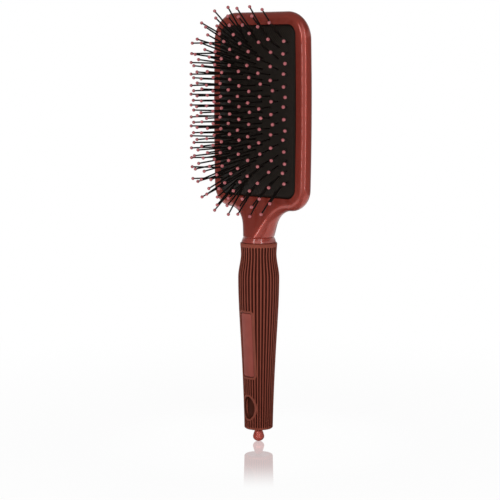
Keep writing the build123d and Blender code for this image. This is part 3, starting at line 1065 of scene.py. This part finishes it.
    def label_edge(self, share: float) -> Spot:
        """Point and outward direction on the label window's edge."""
        half_height, corner = self.label_height / 2, self.label_corner
        half = bowed_half(self.label_width / 2, -half_height, half_height, self.label_bow, corner, corner)
        mirrored = share > 0.5
        spot, inward = half.at(half.length * (2 * (1 - share) if mirrored else 2 * share))
        side = -1 if mirrored else 1
        return Vector((side * spot.x, spot.y + self.label_middle)), Vector((-side * inward.x, -inward.y))

    def recess_edge(self, share: float) -> Spot:
        """Point and outward direction on the recess's edge."""
        turn = 2 * pi * share
        half_x, half_z = self.recess_width / 2, self.recess_height / 2
        outward = Vector((cos(turn) / half_x, sin(turn) / half_z)).normalized()
        return Vector((half_x * cos(turn), self.recess_middle + half_z * sin(turn))), outward

    def label(self) -> Object:
        """Make the bare label plate."""
        gap = self.label_gap
        mesh = rounded_panel(
            self.label_width - 2 * gap, self.label_height - 2 * gap, self.label_corner - gap, self.label_pitch
        )
        behind = new_verts(bmesh.ops.extrude_face_region(mesh, geom=mesh.faces[:]))
        bmesh.ops.translate(mesh, verts=behind, vec=(0, self.label_thickness, 0))
        mesh.normal_update()
        front = [
            edge for edge in mesh.edges
            if all(abs(vert.co.y) < MERGE for vert in edge.verts)
            and any(abs(face.normal.y) < 0.5 for face in edge.link_faces)
        ]
        bevel(mesh, front, self.label_round)
        for vert in mesh.verts:
            depth = vert.co.y + self.label_sunk
            vert.co = self.on_front(vert.co.x, vert.co.z + self.label_middle, -depth)
        made = piece("label_insert", mesh, self.finishes.label, 40.0)
        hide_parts("label_plate")
        return made

    def build(self) -> list[Object]:
        """Make the sleeve, its two rims, the recess's cup and the label plate."""
        return [
            self.sleeve(),
            self.rim("label_rim", 160, self.label_edge, (0.0, -self.wall_depth)),
            self.rim("recess_rim", 128, self.recess_edge, (-self.recess_gap, -self.rim_root)),
            self.recess_cup(),
            self.label(),
        ]


@dataclass
class Collar:
    """Flared painted ring between the neck and the grip."""

    finish: Material
    foot: float
    top: float
    foot_r: float = 10.05 * MM
    top_r: float = 9.05 * MM
    bore_r: float = 5.55 * MM
    bulge: float = 0.1 * MM
    lean: float = 0.3
    edge_round: float = 0.35 * MM

    def build(self) -> Object:
        """Make the ring."""
        low, high = self.foot + self.edge_round, self.top - self.edge_round
        outline = [(self.bore_r, self.foot), (self.foot_r - self.edge_round, self.foot)]
        for share in spread(0.0, 1.0, 12):
            bulge = self.bulge * sin(pi * share) * (1 - self.lean * share)
            outline.append((mix(self.foot_r, self.top_r, share) + bulge, mix(low, high, share)))
        outline += [(self.top_r - self.edge_round, self.top), (self.bore_r, self.top), outline[0]]
        made = piece("collar", spun(outline, 128), self.finish, 35.0)
        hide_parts("collar_ring")
        return made


@dataclass
class Knob:
    """Drop-shaped pull on the pick's outer end."""

    finish: Material
    tip: float
    top: float
    radius: float
    squash: float = 0.86
    neck_r: float = 1.9 * MM
    bore_r: float = 1.12 * MM
    socket: float = 4.5 * MM

    def build(self) -> Object:
        """Make the knob."""
        wide = self.tip + self.squash * self.radius
        rise = (self.top - wide) / self.squash
        touch = atan2(rise, self.neck_r) - acos(self.radius / hypot(self.neck_r, rise))
        outline = [(0.0, self.tip)]
        for turn in spread(-pi / 2, touch, 28)[1:]:
            outline.append((self.radius * cos(turn), wide + self.squash * self.radius * sin(turn)))
        outline += [(self.neck_r, self.top), (self.bore_r, self.top)]
        outline += [(self.bore_r, self.top - self.socket), (0.0, self.top - self.socket)]
        made = piece("pull_knob", spun(outline, 64), self.finish, 35.0)
        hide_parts("pick_knob")
        return made


# ---- studio ----


@dataclass(frozen=True)
class Lamp:
    """Soft lamp. Its turn is in degrees to the right of the camera, about the handle's axis."""

    name: str
    turn: float
    distance: float
    height: float
    width: float
    length: float
    power: float
    aim: float = 0.08


@dataclass
class Studio:
    """Camera, lamps, world and floor."""

    floor_height: float
    azimuth: float = radians(44.12)
    pitch: float = radians(6.77)
    distance: float = 0.936
    height: float = 0.1614
    aside: float = 5.07 * MM
    lens: float = 116.9
    fill: float = 0.28
    band_foot: tuple[float, float] = (0.15, 0.2)
    band_top: tuple[float, float] = (0.42, 0.48)
    band_gap: float = -88.0
    band_gap_fade: tuple[float, float] = (0.6, 0.85)
    backdrop_fade: tuple[float, float] = (0.75, 0.92)
    floor_size: float = 40.0
    floor_colour: tuple[float, ...] = (0.9, 0.9, 0.9, 1.0)
    mirror: float = 1.75
    mirror_roughness: float = 0.03
    mirror_fade: tuple[float, float] = (0.05, 0.11)
    # Painted reflection: strength of a red glow added to the floor's mirror image.
    red_glow: float = 0.17
    shade: float = 0.05
    shade_fade: tuple[float, float] = (0.05, 0.4)
    lamps: tuple[Lamp, ...] = (
        Lamp("left_strip", -37.0, 1.1, 0.4, 0.09, 1.0, 3.2),
        Lamp("right_strip", 20.0, 1.1, 0.4, 0.06, 1.0, 2.8),
        Lamp("front_soft", -6.0, 1.2, 0.4, 1.2, 1.05, 3.4),
        Lamp("low_right", 90.0, 0.2, -0.04, 0.5, 0.28, 0.45, aim=3.0),
        Lamp("low_left", -90.0, 0.25, -0.04, 0.5, 0.28, 0.5, aim=3.0),
        Lamp("top_soft", 10.0, 0.9, 1.1, 0.6, 0.6, 1.4),
    )

    def spot(self, turn: float, distance: float, height: float) -> Vector:
        """Place at a turn in degrees to the right of the camera, about the handle's axis."""
        angle = self.azimuth + radians(turn)
        return Vector((distance * sin(angle), -distance * cos(angle), height))

    def camera(self) -> None:
        """Place the camera at the brush's front, to its left side."""
        data = bpy.data.cameras.new("camera")
        data.lens = self.lens
        made = shown("camera", data)
        made.location = self.spot(0.0, self.distance, self.height) + self.spot(-90.0, self.aside, 0.0)
        behind = self.spot(0.0, cos(self.pitch), sin(self.pitch))
        made.rotation_euler = behind.to_track_quat("Z", "Y").to_euler()
        bpy.context.scene.camera = made

    def hang(self, lamp: Lamp) -> None:
        """Hang one lamp, facing its aim's height on the handle's axis."""
        data = bpy.data.lights.new(lamp.name, "AREA")
        data.shape = "RECTANGLE"
        data.size, data.size_y = lamp.width, lamp.length
        data.energy = lamp.power
        made = shown(lamp.name, data)
        made.visible_camera = False
        made.location = self.spot(lamp.turn, lamp.distance, lamp.height)
        made.rotation_euler = (Vector((0, 0, lamp.aim)) - made.location).to_track_quat("-Z", "Y").to_euler()

    def world(self) -> None:
        """Set a surround that is white to the eye, and in some mirror directions, and dim as a light."""
        world = bpy.data.worlds.new("surround")
        bpy.context.scene.world = world
        graph = Graph(world)
        camera, glossy = graph.rays()
        way = graph.node("TexCoord")

        def towards(turn: float) -> Wire:
            """Nearness of a ray's way to a level one at this turn: 1 along it, -1 against it."""
            inputs = {0: way, 1: tuple(self.spot(turn, 1.0, 0.0))}
            return graph.node("VectorMath", inputs, 1, operation="DOT_PRODUCT")

        rise = graph.node("SeparateXYZ", {0: way}, 2)
        band = rise.step(*self.band_foot) * (1 - rise.step(*self.band_top))
        band = band * (1 - towards(self.band_gap).step(*self.band_gap_fade))
        backdrop = towards(180.0).step(*self.backdrop_fade).larger(band)
        strength = camera.larger(glossy * backdrop).larger(self.fill)
        light = graph.node("Background", {"Color": (1, 1, 1, 1), "Strength": strength})
        graph.node("OutputWorld", {"Surface": light})

    def ground(self) -> Material:
        """Make the floor's finish: white, with a mirror image tinted by a painted red glow, and a faint
        shadow near the brush.
        """
        graph = Graph(bpy.data.materials.new("white_floor"))
        x, y, _ = graph.axes()
        reach = (x * x + y * y) ** 0.5
        camera, _ = graph.rays()
        gloss = graph.node("Fresnel", {"IOR": 1.5}) * (1 - reach.step(*self.mirror_fade)) * self.mirror
        plain = camera * (1 - (1 - reach.step(*self.shade_fade)) * self.shade)
        matt = graph.node("BsdfDiffuse", {"Color": self.floor_colour})
        white = graph.node("Emission", {"Color": (1, 1, 1, 1), "Strength": 1.0})
        # Painted reflection: the mirror gives up some red and glows that red back, which reddens the dark
        # parts of the brush's image.
        tint = (1 - self.red_glow, 1, 1, 1)
        image = graph.node("BsdfGlossy", {"Color": tint, "Roughness": self.mirror_roughness})
        red_glow = graph.node("Emission", {"Color": (1, 0, 0, 1), "Strength": self.red_glow})
        lit = graph.node("MixShader", {0: plain, 1: matt, 2: white})
        mirror = graph.node("AddShader", {0: image, 1: red_glow})
        graph.node("OutputMaterial", {0: graph.node("MixShader", {0: gloss, 1: lit, 2: mirror})})
        return graph.owner

    def floor(self, carrier: Object) -> None:
        """Lay the floor under the brush's foot.

        Args:
            carrier: The piece that the brush stands on. The floor stays under it as it moves.
        """
        mesh = bmesh.new()
        bmesh.ops.create_grid(mesh, x_segments=2, y_segments=2, size=self.floor_size)
        bmesh.ops.translate(mesh, verts=mesh.verts[:], vec=(0, 0, self.floor_height))
        made = meshed("floor", mesh, self.ground())
        made.parent = carrier

    def build(self, carrier: Object) -> None:
        """Set up the whole studio, with its floor under the given piece."""
        self.camera()
        for lamp in self.lamps:
            self.hang(lamp)
        self.world()
        self.floor(carrier)
        bpy.context.scene.view_settings.view_transform = "Standard"


# ---- the whole brush ----


def dress_nodes(finishes: Finishes) -> None:
    """Give every carried-over CAD node its finish."""
    plain = {
        "end_plug": finishes.core,
        "handle_core": finishes.core,
        "friction_ring": finishes.seal,
        "pick_guide_tube": finishes.core,
        "pick_rod": finishes.steel,
        "pick_stop": finishes.steel,
        "pad_backing": finishes.foam,
        "paddle_body": finishes.paint,
        "collar_ring": finishes.ring,
        "grip_sleeve": finishes.rubber,
        "label_plate": finishes.label,
        "cushion": finishes.cushion,
        "pick_knob": finishes.knob,
    }
    for name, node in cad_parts.items():
        if name.startswith("pin_column"):
            material = finishes.pin
        elif name.startswith("pin_tips"):
            material = finishes.tip
        else:
            material = plain[name]
        node.data.materials.clear()
        node.data.materials.append(material)


def main() -> None:
    """Build and dress the brush, piece by piece."""
    logging.basicConfig(level=logging.INFO, format="%(name)s: %(message)s")
    grip_low, grip_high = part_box("grip_sleeve")
    head_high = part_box("paddle_body")[1]
    collar_low, collar_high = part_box("collar_ring")
    knob_low, knob_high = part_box("pick_knob")

    finishes = Finishes()
    dress_nodes(finishes)

    head = PaintedHead(finishes.paint, half_width=head_high.x, top=head_high.z, collar_top=collar_high.z)
    painted = head.build()
    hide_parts("paddle_body")
    Cushion(finishes.cushion, head).build()
    collar = Collar(finishes.ring, foot=collar_low.z, top=collar_high.z).build()
    grip = Grip(finishes, foot=grip_low.z, top=grip_high.z, belly_r=grip_high.x)
    for made in [painted, collar, *grip.build()]:
        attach(made, Body.PADDLE.value)
    knob = Knob(finishes.knob, tip=knob_low.z, top=knob_high.z, radius=knob_high.x).build()
    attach(knob, Body.PICK.value)

    Studio(floor_height=cad_box[0].z).build(knob)


if __name__ == "__main__":
    main()
